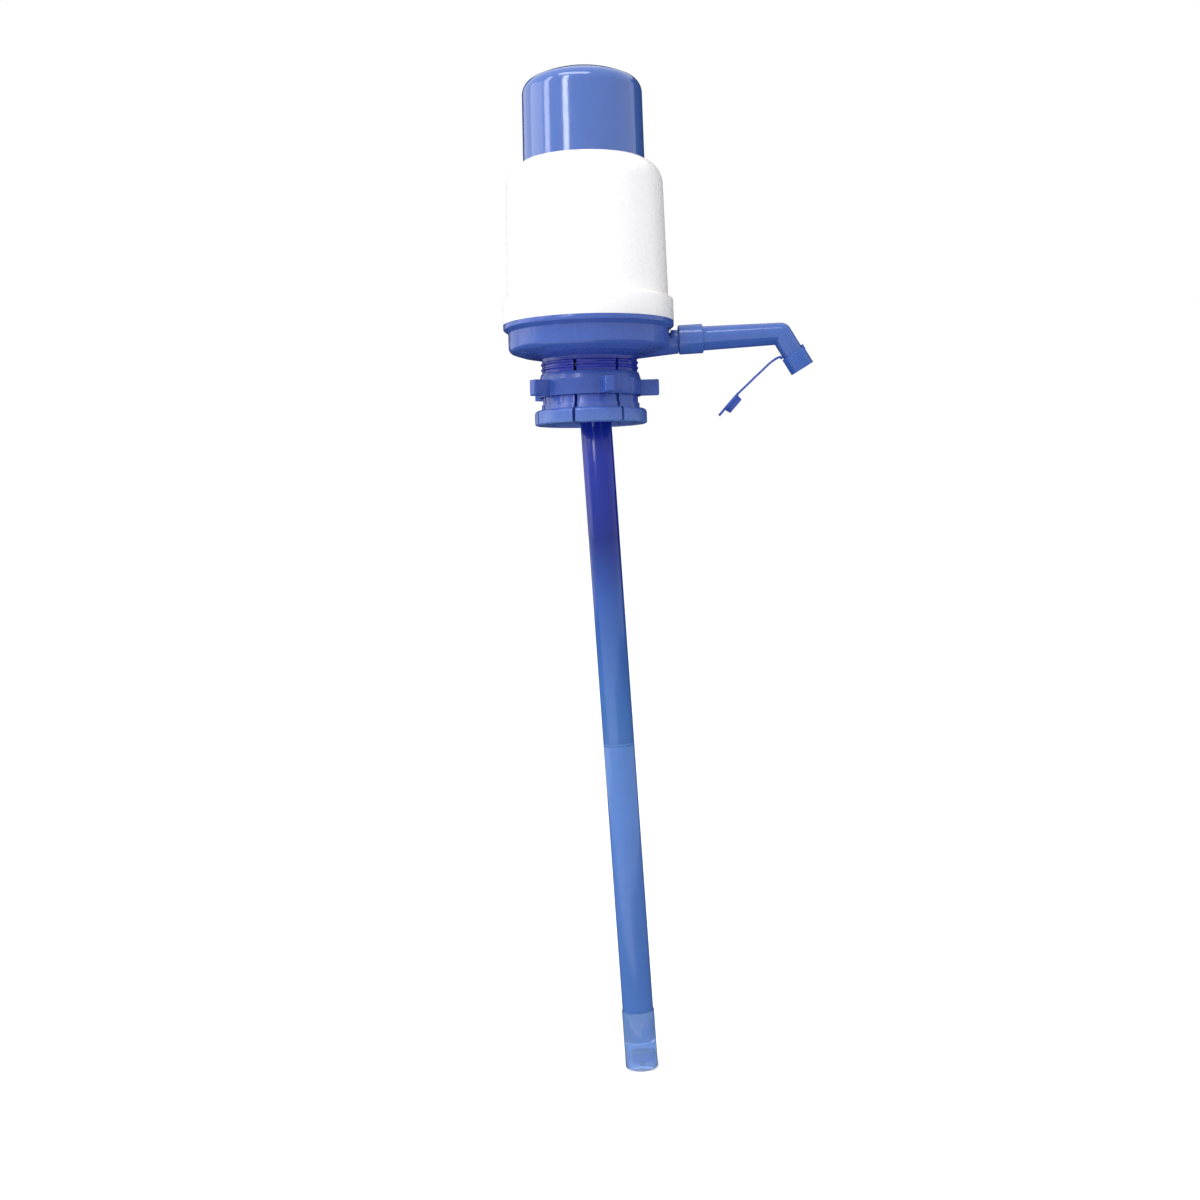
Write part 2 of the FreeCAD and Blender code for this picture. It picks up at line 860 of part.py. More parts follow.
def foot_valve_seat():
    """The seat pressed into the foot: a ring, and a web with windows round a hub."""
    outer = foot_chamber_radius - foot_seat_fit
    inner = outer - foot_seat_wall
    body = ring(inner, outer, 0, foot_seat_height)
    web = ring(foot_window_radius, inner + foot_web_overlap, 0, foot_seat_web)
    hub = rod(foot_hub_radius, 0, foot_seat_height - poppet_barb_height)
    spoke = bar(0, foot_window_radius + foot_web_overlap, foot_spoke, 0, foot_seat_web)
    body = body.fuse([web, hub] + around(spoke, foot_spoke_count))
    body = body.cut(rod(poppet_stem + poppet_stem_clearance, -overrun, foot_seat_height))
    return placed(body, foot_top + tube_heading * foot_seat_place, tube_heading)


def foot_valve():
    """The poppet: a disc on a stem, with a barb that stops it at full lift."""
    hub_end = foot_seat_height - poppet_barb_height
    barb_start = hub_end + poppet_lift + poppet_barb_gap
    body = turned([
        (0, -poppet_thickness, 0),
        (poppet_radius, -poppet_thickness, 0),
        (poppet_radius, 0, 0),
        (poppet_stem, 0, 0),
        (poppet_stem, barb_start, 0),
        (poppet_barb, barb_start, 0),
        (poppet_stem / 2, barb_start + poppet_barb_height, 0),
        (0, barb_start + poppet_barb_height, 0),
    ])
    return placed(body, foot_top + tube_heading * foot_seat_place, tube_heading)


parts = {
    "base_bowl": base_bowl(),
    "clamp_ring": clamp_ring(),
    "neck_gasket": neck_gasket(),
    "outer_shell": outer_shell(),
    "press_cap": press_cap(),
    "pressure_plate": pressure_plate(),
    "bellows": bellows(),
    "bellows_retainer": bellows_retainer(),
    "return_spring": return_spring(),
    "stub_o_ring": stub_o_ring(),
    "outlet_valve": outlet_valve(),
    "outlet_valve_cage": outlet_valve_cage(),
    "spout_tube": spout_tube(),
    "tip_sleeve": tip_sleeve(),
    "strap_upper": strap_upper(),
    "strap_lower": strap_lower(),
    "tip_stopper": tip_stopper(),
    "suction_tube_upper": suction_tube(tube_top, upper_tube_length),
    "suction_tube_lower": suction_tube(lower_tube_top, lower_tube_length),
    "tube_joiner": tube_joiner(),
    "foot_housing": foot_housing(),
    "foot_valve_seat": foot_valve_seat(),
    "foot_valve": foot_valve(),
}

os.makedirs("parts", exist_ok=True)
for name, shape in parts.items():
    shape.exportStep(f"parts/{name}.step")
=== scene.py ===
import json
import math

import bmesh
import bpy
from mathutils import Matrix, Vector


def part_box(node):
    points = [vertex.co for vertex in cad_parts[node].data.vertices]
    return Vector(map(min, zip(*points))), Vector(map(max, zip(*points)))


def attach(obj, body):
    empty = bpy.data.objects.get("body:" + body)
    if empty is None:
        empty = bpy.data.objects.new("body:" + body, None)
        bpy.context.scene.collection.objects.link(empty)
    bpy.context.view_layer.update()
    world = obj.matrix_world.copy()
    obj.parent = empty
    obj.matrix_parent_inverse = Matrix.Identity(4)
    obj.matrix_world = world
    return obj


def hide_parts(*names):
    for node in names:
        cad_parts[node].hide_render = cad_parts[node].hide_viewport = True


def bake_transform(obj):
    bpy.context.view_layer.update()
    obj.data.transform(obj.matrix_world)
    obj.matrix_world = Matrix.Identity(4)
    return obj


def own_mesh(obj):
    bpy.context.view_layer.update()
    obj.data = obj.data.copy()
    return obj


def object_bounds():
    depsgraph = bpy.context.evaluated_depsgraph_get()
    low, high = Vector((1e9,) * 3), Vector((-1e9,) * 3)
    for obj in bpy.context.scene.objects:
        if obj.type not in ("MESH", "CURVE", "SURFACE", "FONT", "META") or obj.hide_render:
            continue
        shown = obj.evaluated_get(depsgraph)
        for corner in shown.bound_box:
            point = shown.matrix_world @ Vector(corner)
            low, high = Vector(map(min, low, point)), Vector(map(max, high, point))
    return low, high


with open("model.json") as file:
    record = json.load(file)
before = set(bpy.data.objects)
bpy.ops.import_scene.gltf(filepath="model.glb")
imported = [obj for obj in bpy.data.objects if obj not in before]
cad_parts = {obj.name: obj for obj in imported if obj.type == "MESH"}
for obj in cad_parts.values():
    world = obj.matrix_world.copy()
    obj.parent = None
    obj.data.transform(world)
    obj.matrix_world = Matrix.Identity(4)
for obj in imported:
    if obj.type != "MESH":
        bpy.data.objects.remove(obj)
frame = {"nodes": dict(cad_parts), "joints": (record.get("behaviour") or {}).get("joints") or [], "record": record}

cad_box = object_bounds()
nodes = frame["nodes"]
joints = {joint["name"]: joint for joint in frame["joints"]}
MM = 0.001


# ---------------------------------------------------------------- node materials

# A colour Mix node has several sockets of the same name, so these are taken by their place.
MIX_A = 6
MIX_B = 7
MIX_COLOUR = 2


def linear(red, green, blue):
    """A colour given as 0 to 255 on a screen, as linear light."""
    def channel(value):
        value /= 255
        return value / 12.92 if value <= 0.04045 else ((value + 0.055) / 1.055) ** 2.4
    return (channel(red), channel(green), channel(blue), 1.0)


def shaded(colour, factor):
    """The same colour, lighter or darker."""
    return tuple(part * factor for part in colour[:3]) + (1.0,)


class Shader:
    """A new material with its Principled shader and short ways to add nodes to it."""

    def __init__(self, name, **uniform):
        self.material = bpy.data.materials.new(name)
        self.material.use_nodes = True
        self.tree = self.material.node_tree
        self.surface = self.tree.nodes["Principled BSDF"]
        self.place = self.add("ShaderNodeTexCoord").outputs["Object"]
        for socket, value in uniform.items():
            self.surface.inputs[socket.replace("_", " ")].default_value = value

    def add(self, kind, **settings):
        node = self.tree.nodes.new(kind)
        for key, value in settings.items():
            if key in node.inputs:
                node.inputs[key].default_value = value
            else:
                setattr(node, key, value)
        return node

    def join(self, output, target):
        self.tree.links.new(output, target)

    def noise(self, scale, detail=3.0, roughness=0.5, stretch=(1, 1, 1)):
        """Noise in the object's own space, its grain set in turns per metre."""
        mapping = self.add("ShaderNodeMapping", Scale=stretch)
        self.join(self.place, mapping.inputs["Vector"])
        texture = self.add("ShaderNodeTexNoise", Scale=scale, Detail=detail, Roughness=roughness)
        self.join(mapping.outputs["Vector"], texture.inputs["Vector"])
        return texture.outputs["Fac"]

    def spread(self, value, low, high, start=0.35, end=0.65):
        """A value between start and end, spread from low to high."""
        spread = self.add("ShaderNodeMapRange")
        for socket, number in zip(("From Min", "From Max", "To Min", "To Max"), (start, end, low, high)):
            spread.inputs[socket].default_value = number
        self.join(value, spread.inputs["Value"])
        return spread.outputs["Result"]

    def ramp(self, value, stops):
        """Colours at places along a value."""
        ramp = self.add("ShaderNodeValToRGB")
        elements = ramp.color_ramp.elements
        while len(elements) < len(stops):
            elements.new(0.5)
        for element, (position, colour) in zip(elements, stops):
            element.position = position
            element.color = colour
        self.join(value, ramp.inputs["Fac"])
        return ramp.outputs["Color"]

    def marked(self, marks, colour, depth):
        """One colour, made darker and lighter by marks."""
        return self.ramp(marks, [(0.3, shaded(colour, 1 - depth)), (0.7, shaded(colour, 1 + depth))])

    def tinted(self, marks, colours, depth):
        """One colour, or colours at heights down the object, made darker and lighter by marks."""
        if isinstance(colours, tuple):
            return self.marked(marks, colours, depth)
        stops = sorted(colours)
        low, high = stops[0][0], stops[-1][0]
        split = self.add("ShaderNodeSeparateXYZ")
        self.join(self.place, split.inputs["Vector"])
        height = self.spread(split.outputs["Z"], 0.0, 1.0, low * MM, high * MM)
        colour = self.ramp(height, [((stop - low) / (high - low), tint) for stop, tint in stops])
        mix = self.add("ShaderNodeMix", data_type="RGBA", blend_type="MULTIPLY", Factor=1.0)
        self.join(colour, mix.inputs[MIX_A])
        self.join(self.marked(marks, WHITE, depth), mix.inputs[MIX_B])
        return mix.outputs[MIX_COLOUR]

    def bump(self, height, strength, distance):
        bump = self.add("ShaderNodeBump", Strength=strength, Distance=distance)
        self.join(height, bump.inputs["Height"])
        self.join(bump.outputs["Normal"], self.surface.inputs["Normal"])


# How fine each texture's grain is, in turns per metre.
FLOW_GRAIN = 90             # flow marks in a moulding
SMEAR_GRAIN = 360           # its uneven gloss
RIPPLE_GRAIN = 144          # its rippled surface
CLOUD_GRAIN = 26            # soft clouds in a tube
LINE_GRAIN = 700            # fine lines along a tube
DUST_GRAIN = 600            # dust on rubber
PIT_GRAIN = 2500            # pits in rubber
WIRE_GRAIN = 1500           # lines on drawn wire


def moulded(name, colours, gloss, depth=0.0, ripple=0.12, coat=0.3, shine=0.5, marks=0.045):
    """Moulded plastic: flow marks in its colour, a faint ripple, uneven gloss and a little depth."""
    shader = Shader(name, Coat_Weight=coat, Coat_Roughness=0.06, IOR=1.49, Subsurface_Weight=depth,
                    Subsurface_Radius=(0.4, 0.6, 1.0), Subsurface_Scale=0.004, Specular_IOR_Level=shine)
    flow = shader.noise(FLOW_GRAIN, detail=4.0, roughness=0.55, stretch=(1, 1, 0.35))
    shader.join(shader.tinted(flow, colours, marks), shader.surface.inputs["Base Color"])
    smear = shader.noise(SMEAR_GRAIN, roughness=0.6)
    shader.join(shader.spread(smear, gloss * 0.8, gloss * 1.3), shader.surface.inputs["Roughness"])
    shader.bump(shader.noise(RIPPLE_GRAIN, detail=2.0), strength=ripple, distance=0.4 * MM)
    return shader.material


def extruded(name, colours, clear, gloss=0.16):
    """Extruded, slightly clear tube: fine lengthwise lines, soft clouds and colours down its length."""
    shader = Shader(name, Transmission_Weight=clear, IOR=1.45, Coat_Weight=0.1, Coat_Roughness=0.05,
                    Specular_IOR_Level=0.3)
    lines = shader.noise(LINE_GRAIN, detail=2.0, stretch=(1, 1, 0.01))
    clouds = shader.noise(CLOUD_GRAIN, stretch=(1, 1, 0.4))
    shader.join(shader.tinted(clouds, colours, 0.1), shader.surface.inputs["Base Color"])
    shader.join(shader.spread(lines, gloss * 0.8, gloss * 1.4), shader.surface.inputs["Roughness"])
    shader.bump(lines, strength=0.08, distance=0.2 * MM)
    return shader.material


def rubber(name, colour):
    """Matt rubber with a dusty, finely pitted skin."""
    shader = Shader(name, IOR=1.5)
    dust = shader.noise(DUST_GRAIN, detail=4.0, roughness=0.6)
    tint = shader.ramp(dust, [(0.35, colour), (0.75, shaded(colour, 1.5))])
    shader.join(tint, shader.surface.inputs["Base Color"])
    shader.join(shader.spread(dust, 0.5, 0.75), shader.surface.inputs["Roughness"])
    shader.bump(shader.noise(PIT_GRAIN, detail=2.0), strength=0.2, distance=0.2 * MM)
    return shader.material


def wire_steel(name):
    """Drawn stainless wire: bright, with fine lines along it."""
    shader = Shader(name, Metallic=1.0)
    lines = shader.noise(WIRE_GRAIN, detail=2.0, stretch=(1, 1, 6))
    tint = shader.ramp(lines, [(0.3, STEEL_DARK), (0.7, STEEL_LIGHT)])
    shader.join(tint, shader.surface.inputs["Base Color"])
    shader.join(shader.spread(lines, 0.18, 0.32), shader.surface.inputs["Roughness"])
    shader.bump(lines, strength=0.1, distance=0.1 * MM)
    return shader.material


WHITE = (1, 1, 1, 1)
CAP_BLUE = linear(66, 99, 170)
RING_BLUE = linear(54, 82, 160)
SPOUT_BLUE = linear(63, 96, 168)
TIP_BLUE = linear(50, 90, 168)
STRAP_BLUE = linear(52, 80, 168)
SHELL_WHITE = linear(250, 246, 243)
INNER_WHITE = linear(226, 226, 222)
BELLOWS_WHITE = linear(224, 228, 232)
GASKET_GREY = linear(92, 94, 98)
O_RING_BLACK = linear(26, 26, 28)
VALVE_GREY = linear(196, 196, 190)
STEEL_DARK = linear(172, 173, 176)
STEEL_LIGHT = linear(214, 215, 218)

# Colours down a piece, at heights in millimetres: the bowl and its collar, then the tube and its foot. The collar
# is darker just under the bowl: that dark band is painted shade.
BOWL_AND_PAINTED_COLLAR_SHADE = [(9, linear(63, 90, 164)), (3, linear(32, 46, 152)), (-12, linear(34, 50, 156)),
                   (-20, linear(62, 88, 174)), (-36, linear(84, 112, 175))]
# The upper tube's dark upper end, inside the neck, is painted shade.
UPPER_TUBE_AND_PAINTED_NECK_SHADE = [(-60, linear(28, 50, 174)), (-110, linear(20, 43, 138)), (-150, linear(54, 94, 176)),
              (-225, linear(86, 133, 203))]
LOWER_TUBE = [(-237, linear(92, 136, 206)), (-330, linear(92, 131, 201)), (-410, linear(88, 129, 200))]
FOOT = [(-415, linear(150, 192, 246)), (-460, linear(178, 204, 248))]


def make_materials():
    """One material for each of the record's slots."""
    return {
        "cap_blue": moulded("cap_plastic", CAP_BLUE, gloss=0.14, depth=0.12, ripple=0.18, coat=0.5),
        # The bowl's colours hold painted shade: a dark band on the collar under the bowl.
        "base_blue": moulded("bowl_plastic", BOWL_AND_PAINTED_COLLAR_SHADE, gloss=0.22, depth=0.08, coat=0.1, shine=0.35),
        "ring_blue": moulded("ring_plastic", RING_BLUE, gloss=0.26, depth=0.08, coat=0.1, shine=0.35),
        "spout_blue": moulded("spout_plastic", SPOUT_BLUE, gloss=0.2, depth=0.1, coat=0.2, shine=0.4),
        "tip_blue": moulded("tip_plastic", TIP_BLUE, gloss=0.28, depth=0.08, coat=0.1, shine=0.4),
        "strap_blue": moulded("strap_plastic", STRAP_BLUE, gloss=0.36, depth=0.1, coat=0.0, shine=0.4),
        "shell_white": moulded("shell_plastic", SHELL_WHITE, gloss=0.3, depth=0.05, ripple=0.04, coat=0.1,
                               marks=0.012),
        "inner_white": moulded("inner_plastic", INNER_WHITE, gloss=0.42, coat=0.0, marks=0.03),
        "bellows_white": moulded("bellows_plastic", BELLOWS_WHITE, gloss=0.45, depth=0.3, coat=0.0),
        # The tubes' colours hold painted shade: their upper end is darker inside the neck.
        "tube_blue": extruded("tube_plastic", UPPER_TUBE_AND_PAINTED_NECK_SHADE + LOWER_TUBE, clear=0.25),
        "joiner_blue": extruded("joiner_plastic", UPPER_TUBE_AND_PAINTED_NECK_SHADE, clear=0.2),
        "foot_blue": extruded("foot_plastic", FOOT, clear=0.72, gloss=0.07),
        "rubber_grey": rubber("gasket_rubber", GASKET_GREY),
        "rubber_black": rubber("ring_rubber", O_RING_BLACK),
        "valve_rubber": rubber("valve_rubber", VALVE_GREY),
        "spring_steel": wire_steel("spring_wire"),
    }


# ---------------------------------------------------------------- carried-over pieces

# The round of each piece's edges, in millimetres.
EDGE_ROUND = {
    "base_bowl": 0.35,
    "clamp_ring": 0.35,
    "outer_shell": 0.4,
    "press_cap": 0.4,
    "spout_tube": 0.3,
    "tip_sleeve": 0.15,
    "tip_stopper": 0.2,
    "foot_housing": 0.2,
    "suction_tube_upper": 0.15,
    "suction_tube_lower": 0.15,
    "tube_joiner": 0.12,
}
FINE_ROUND = 0.08                # on the pieces that the list leaves out
SHARP_ANGLE = math.radians(32)   # edges that turn more than this are rounded
WELD_REACH = 0.002 * MM


def softened(piece, width):
    """Joins a carried-over piece's faces, rounds its edges a little and shades it smooth."""
    weld = piece.modifiers.new("joined", "WELD")
    weld.merge_threshold = WELD_REACH
    bevel = piece.modifiers.new("rounded", "BEVEL")
    bevel.width = width
    bevel.segments = 2
    bevel.limit_method = "ANGLE"
    bevel.angle_limit = SHARP_ANGLE
    bevel.use_clamp_overlap = True
    bevel.harden_normals = True
    for polygon in piece.data.polygons:
        polygon.use_smooth = True


def dress_nodes(materials):
    """Gives every carried-over piece its material and softened edges."""
    slots = {part["node"]: part["material_slot"] for part in frame["record"]["subparts"]}
    for name, piece in nodes.items():
        piece.data.materials.clear()
        piece.data.materials.append(materials[slots[name]])
        softened(piece, EDGE_ROUND.get(name, FINE_ROUND) * MM)


# ---------------------------------------------------------------- strap, bellows and spring

def new_piece(name, rings, material, closed=True):
    """A mesh from rings of points, each joined to the next; an open one is capped at its ends."""
    builder = bmesh.new()
    rows = [[builder.verts.new(point) for point in ring] for ring in rings]
    pairs = list(zip(rows, rows[1:]))
    if not closed:
        builder.faces.new(list(reversed(rows[0])))
        builder.faces.new(rows[-1])
    else:
        pairs.append((rows[-1], rows[0]))
    for row, following in pairs:
        for index in range(len(row)):
            after = (index + 1) % len(row)
            builder.faces.new((row[index], row[after], following[after], following[index]))
    bmesh.ops.recalc_face_normals(builder, faces=builder.faces)
    mesh = bpy.data.meshes.new(name)
    builder.to_mesh(mesh)
    builder.free()
    piece = bpy.data.objects.new(name, mesh)
    bpy.context.scene.collection.objects.link(piece)
    mesh.materials.append(material)
    for polygon in mesh.polygons:
        polygon.use_smooth = True
    return piece


def smooth_line(points, step):
    """Points spaced evenly along one smooth curve with these control points."""
    data = bpy.data.curves.new("line", "CURVE")
    data.dimensions = "3D"
    data.resolution_u = 24
    spline = data.splines.new("NURBS")
    spline.points.add(len(points) - 1)
    for target, point in zip(spline.points, points):
        target.co = (*point, 1)
    spline.order_u = 3
    spline.use_endpoint_u = True
    holder = bpy.data.objects.new("line", data)
    mesh = bpy.data.meshes.new_from_object(holder)
    dense = [vertex.co.copy() for vertex in mesh.vertices]
    bpy.data.objects.remove(holder)
    lengths = [0.0]
    for before, after in zip(dense, dense[1:]):
        lengths.append(lengths[-1] + (after - before).length)
    count = max(2, round(lengths[-1] / step))
    line = []
    for index in range(count + 1):
        reach = lengths[-1] * index / count
        place = max(i for i, length in enumerate(lengths[:-1]) if length <= reach)
        share = (reach - lengths[place]) / (lengths[place + 1] - lengths[place])
        line.append(dense[place].lerp(dense[place + 1], share))
    return line


STRAP_WIDTH = 4.5 * MM
STRAP_THICKNESS = 1.4 * MM
STRAP_CORNER = 0.42              # the round of its long edges, as a share of the thickness
STRAP_STEP = 0.5 * MM
TONGUE_FOOT = Vector((124.62, 0, 3.04)) * MM
TONGUE_SHARE = 0.3               # the strap's first control point, between the root bend and the tongue
LID_EDGE = Vector((95.93, 0, -18.59)) * MM

# More control points, in millimetres: how far along the strap from the root bend, the fold or the
# lid's edge, and how far out of its straight run.
ROOT_POINTS = [(2.5, 0), (7, 0.6), (13, 0.3)]
FOLD_BEFORE = 3
FOLD_AFTER = 4
LID_POINTS = [(-1, 0.35), (1.5, 0.35)]


def ribbon(name, line, material):
    """A flat strip with rounded edges along a line of the XZ plane."""
    corner = STRAP_THICKNESS * STRAP_CORNER
    section = []
    for side, face, turn in ((1, 1, 0), (-1, 1, 90), (-1, -1, 180), (1, -1, 270)):
        for bend in (0, 30, 60, 90):
            angle = math.radians(turn + bend)
            section.append((side * (STRAP_WIDTH / 2 - corner) + corner * math.cos(angle),
                            face * (STRAP_THICKNESS / 2 - corner) + corner * math.sin(angle)))
    rings = []
    for index, point in enumerate(line):
        along = (line[min(index + 1, len(line) - 1)] - line[max(index - 1, 0)]).normalized()
        off = Vector((-along.z, 0, along.x))
        rings.append([point + Vector((0, across, 0)) + off * out for across, out in section])
    return new_piece(name, rings, material, closed=False)


def make_strap(material):
    """The soft strap from the tip sleeve's tongue to the stopper's lid, in two lengths."""
    root = Vector(joints["strap_root_bend"]["pos_m"])
    fold = Vector(joints["strap_fold"]["pos_m"])
    run = (fold - root).normalized()
    over = Vector((run.z, 0, -run.x))
    on_lid = (LID_EDGE - fold).normalized()
    points = [TONGUE_FOOT, root.lerp(TONGUE_FOOT, TONGUE_SHARE)]
    points += [root + run * along * MM + over * out * MM for along, out in ROOT_POINTS]
    points += [fold - run * FOLD_BEFORE * MM, fold, fold + on_lid * FOLD_AFTER * MM]
    points += [LID_EDGE + on_lid * along * MM + over * out * MM for along, out in LID_POINTS]
    line = smooth_line(points, STRAP_STEP)
    half = (root + fold) / 2
    cut = min(range(len(line)), key=lambda index: (line[index] - half).length)
    near = ribbon("strap_root", line[:cut + 1], material)
    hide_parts("strap_upper")
    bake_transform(near)
    far = ribbon("strap_end", line[cut:], material)
    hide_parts("strap_lower")
    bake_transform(far)


BELLOWS_OUTER = 45 * MM
BELLOWS_WALL = 1.2 * MM
BELLOWS_SEGMENTS = 96
FLANGE_THICKNESS = 1.6 * MM
NECK_LENGTH = 4.4 * MM           # from the flange to the first fold
FOLD_DEPTH = 7 * MM
FOLD_SLOPES = 9                  # slopes between the outer and inner folds
SLOPE_STEPS = 12
FOLD_ROUND = 0.75                # below 1, the folds are sharper than a plain wave's
AXIS_GAP = 0.4 * MM              # the top closes to this radius, which is hidden in the plate


def turned(name, profile, material):
    """A closed ring-shaped piece turned about the Z axis from (radius, height) points."""
    rings = []
    for index in range(BELLOWS_SEGMENTS):
        angle = 2 * math.pi * index / BELLOWS_SEGMENTS
        rings.append([Vector((radius * math.cos(angle), radius * math.sin(angle), height))
                      for radius, height in profile])
    return new_piece(name, rings, material)


def make_bellows(material):
    """The folded chamber with rounded folds."""
    low, high = (Vector(corner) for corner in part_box("bellows"))
    flange = high.x
    outer = BELLOWS_OUTER
    inner = outer - FOLD_DEPTH
    flange_top = low.z + FLANGE_THICKNESS
    first = flange_top + NECK_LENGTH
    pitch = (high.z - first) / FOLD_SLOPES
    wave = []
    for index in range(FOLD_SLOPES * SLOPE_STEPS + 1):
        phase = index / SLOPE_STEPS * math.pi
        sharp = math.copysign(abs(math.cos(phase)) ** FOLD_ROUND, math.cos(phase))
        wave.append(((outer + inner) / 2 + sharp * (outer - inner) / 2,
                     first + index / SLOPE_STEPS * pitch))
    outside = [(flange, low.z), (flange, flange_top), (outer, flange_top)] + wave
    inside = [(radius - BELLOWS_WALL, height) for radius, height in reversed(wave)]
    inside[0] = (inside[0][0], high.z - BELLOWS_WALL)
    top = [(AXIS_GAP, high.z), (AXIS_GAP, high.z - BELLOWS_WALL)]
    profile = outside + top + inside + [(outer - BELLOWS_WALL, low.z)]
    piece = turned("bellows_folds", profile, material)
    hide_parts("bellows")
    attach(piece, "pump_base")
    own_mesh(piece)


WIRE_RADIUS = 0.9 * MM
WIRE_SIDES = 12
SPRING_TURNS = 8
TURN_STEPS = 48
CLOSED_TURNS = 0.6               # turns that lie flat at each end


def make_spring(material):
    """The round wire of the return spring, with closed ends."""
    low, high = (Vector(corner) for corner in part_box("return_spring"))
    radius = high.x - WIRE_RADIUS
    bottom = low.z + WIRE_RADIUS
    top = high.z - WIRE_RADIUS
    bends = [2 * math.pi * side / WIRE_SIDES for side in range(WIRE_SIDES)]
    rings = []
    steps = SPRING_TURNS * TURN_STEPS
    for index in range(steps + 1):
        share = index / steps
        angle = 2 * math.pi * SPRING_TURNS * share
        eased = (share * SPRING_TURNS - CLOSED_TURNS) / (SPRING_TURNS - 2 * CLOSED_TURNS)
        height = bottom + (top - bottom) * min(1.0, max(0.0, eased))
        centre = Vector((radius * math.cos(angle), radius * math.sin(angle), height))
        out = Vector((math.cos(angle), math.sin(angle), 0))
        rings.append([centre + out * WIRE_RADIUS * math.cos(bend)
                      + Vector((0, 0, WIRE_RADIUS * math.sin(bend))) for bend in bends])
    piece = new_piece("spring_wire", rings, material, closed=False)
    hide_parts("return_spring")
    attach(piece, "pump_base")
    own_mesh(piece)


# ---------------------------------------------------------------- camera, light and floor

PIXELS = 1200
FOCAL_PIXELS = 1553
SENSOR_WIDTH = 36
PITCH = math.radians(2.0)        # the camera's axis points down a little
ROLL = math.radians(1.62)        # the pump's top leans left in the picture
CAMERA_PLACE = Vector((3.0, -1007.5, -95)) * MM
FRAME_DROP = 30.0                # pixels that the picture's middle lies below the camera's axis

# The light from all round: its level and colour, and how it leans to the left, the camera's side
# and above.
SKY_LEVEL = 0.8
SKY_COLOUR = (0.97, 0.985, 1, 1)
SKY_LEAN = (-0.12, -0.1, 0.3)

# The floor: its paper where it is seen, its tone where it only lights the object, and its glow.
FLOOR_HALF = 30
FLOOR_GAP = 0.5 * MM
PAPER_GRAIN = 3.0
PAPER_DARK = (0.93, 0.93, 0.93, 1)
PAPER_LIGHT = (0.96, 0.96, 0.96, 1)
FLOOR_TONE = (0.6, 0.63, 0.7, 1)
FLOOR_GLOW = 0.2

# The black cloth hangs round the object's back between two angles from the camera's side, and lies
# on the floor from just before the object, and from further before the spout.
CLOTH_GRAIN = 300.0
CLOTH_DARK = (0.006, 0.006, 0.008, 1)
CLOTH_LIGHT = (0.012, 0.012, 0.015, 1)
CLOTH_FROM = 117
CLOTH_TO = 210
CLOTH_STEPS = 24
CLOTH_DISTANCE = 1.8
CLOTH_TOP = 1.3
CLOTH_BEFORE = 0.12
CLOTH_BEFORE_SPOUT = 0.6
CLOTH_SPOUT_SIDE = 0.06

# The lamps. Each streak on the cap comes from a lamp that its wall reflects, and from one above it
# that only its dome reflects: azimuth, width in metres and the lower lamp's watts.
LIT_POINT = (0, 0, 0.05)
STREAKS = {"bright": (-31, 0.26, 2.8), "soft": (-70, 0.28, 1.6)}
STREAK_DISTANCE = 1.5
STREAK_MIDDLE = 0.6
STREAK_TALL = 0.36
RISE_MIDDLE = 1.2
RISE_TALL = 0.84


def add_camera():
    data = bpy.data.cameras.new("camera")
    data.sensor_width = SENSOR_WIDTH
    data.lens = SENSOR_WIDTH * FOCAL_PIXELS / PIXELS
    data.shift_y = -FRAME_DROP / PIXELS
    camera = bpy.data.objects.new("camera", data)
    bpy.context.scene.collection.objects.link(camera)
    ahead = Vector((0, math.cos(PITCH), -math.sin(PITCH)))
    upright = ahead.to_track_quat("-Z", "Y").to_matrix().to_4x4()
    camera.matrix_world = Matrix.Translation(CAMERA_PLACE) @ upright @ Matrix.Rotation(-ROLL, 4, "Z")
    bpy.context.scene.camera = camera


def round_place(azimuth, distance, height):
    """A place round the object; azimuth 0 is the camera's side, and turns to the right."""
    angle = math.radians(azimuth)
    return (distance * math.sin(angle), -distance * math.cos(angle), height)


def add_lamp(name, place, target, size, power):
    data = bpy.data.lights.new(name, "AREA")
    data.shape = "RECTANGLE"
    data.size, data.size_y = size
    data.energy = power
    lamp = bpy.data.objects.new(name, data)
    bpy.context.scene.collection.objects.link(lamp)
    place = Vector(place)
    facing = (Vector(target) - place).to_track_quat("-Z", "Y")
    lamp.matrix_world = Matrix.Translation(place) @ facing.to_matrix().to_4x4()
    return lamp


def seen_rays(tree):
    """1 for rays that show the background: the camera's own, and those sent by gloss and clear plastic."""
    path = tree.nodes.new("ShaderNodeLightPath")
    seen = path.outputs["Is Camera Ray"]
    for kind in ("Is Glossy Ray", "Is Transmission Ray"):
        either = tree.nodes.new("ShaderNodeMath")
        either.operation = "MAXIMUM"
        tree.links.new(seen, either.inputs[0])
        tree.links.new(path.outputs[kind], either.inputs[1])
        seen = either.outputs["Value"]
    return seen


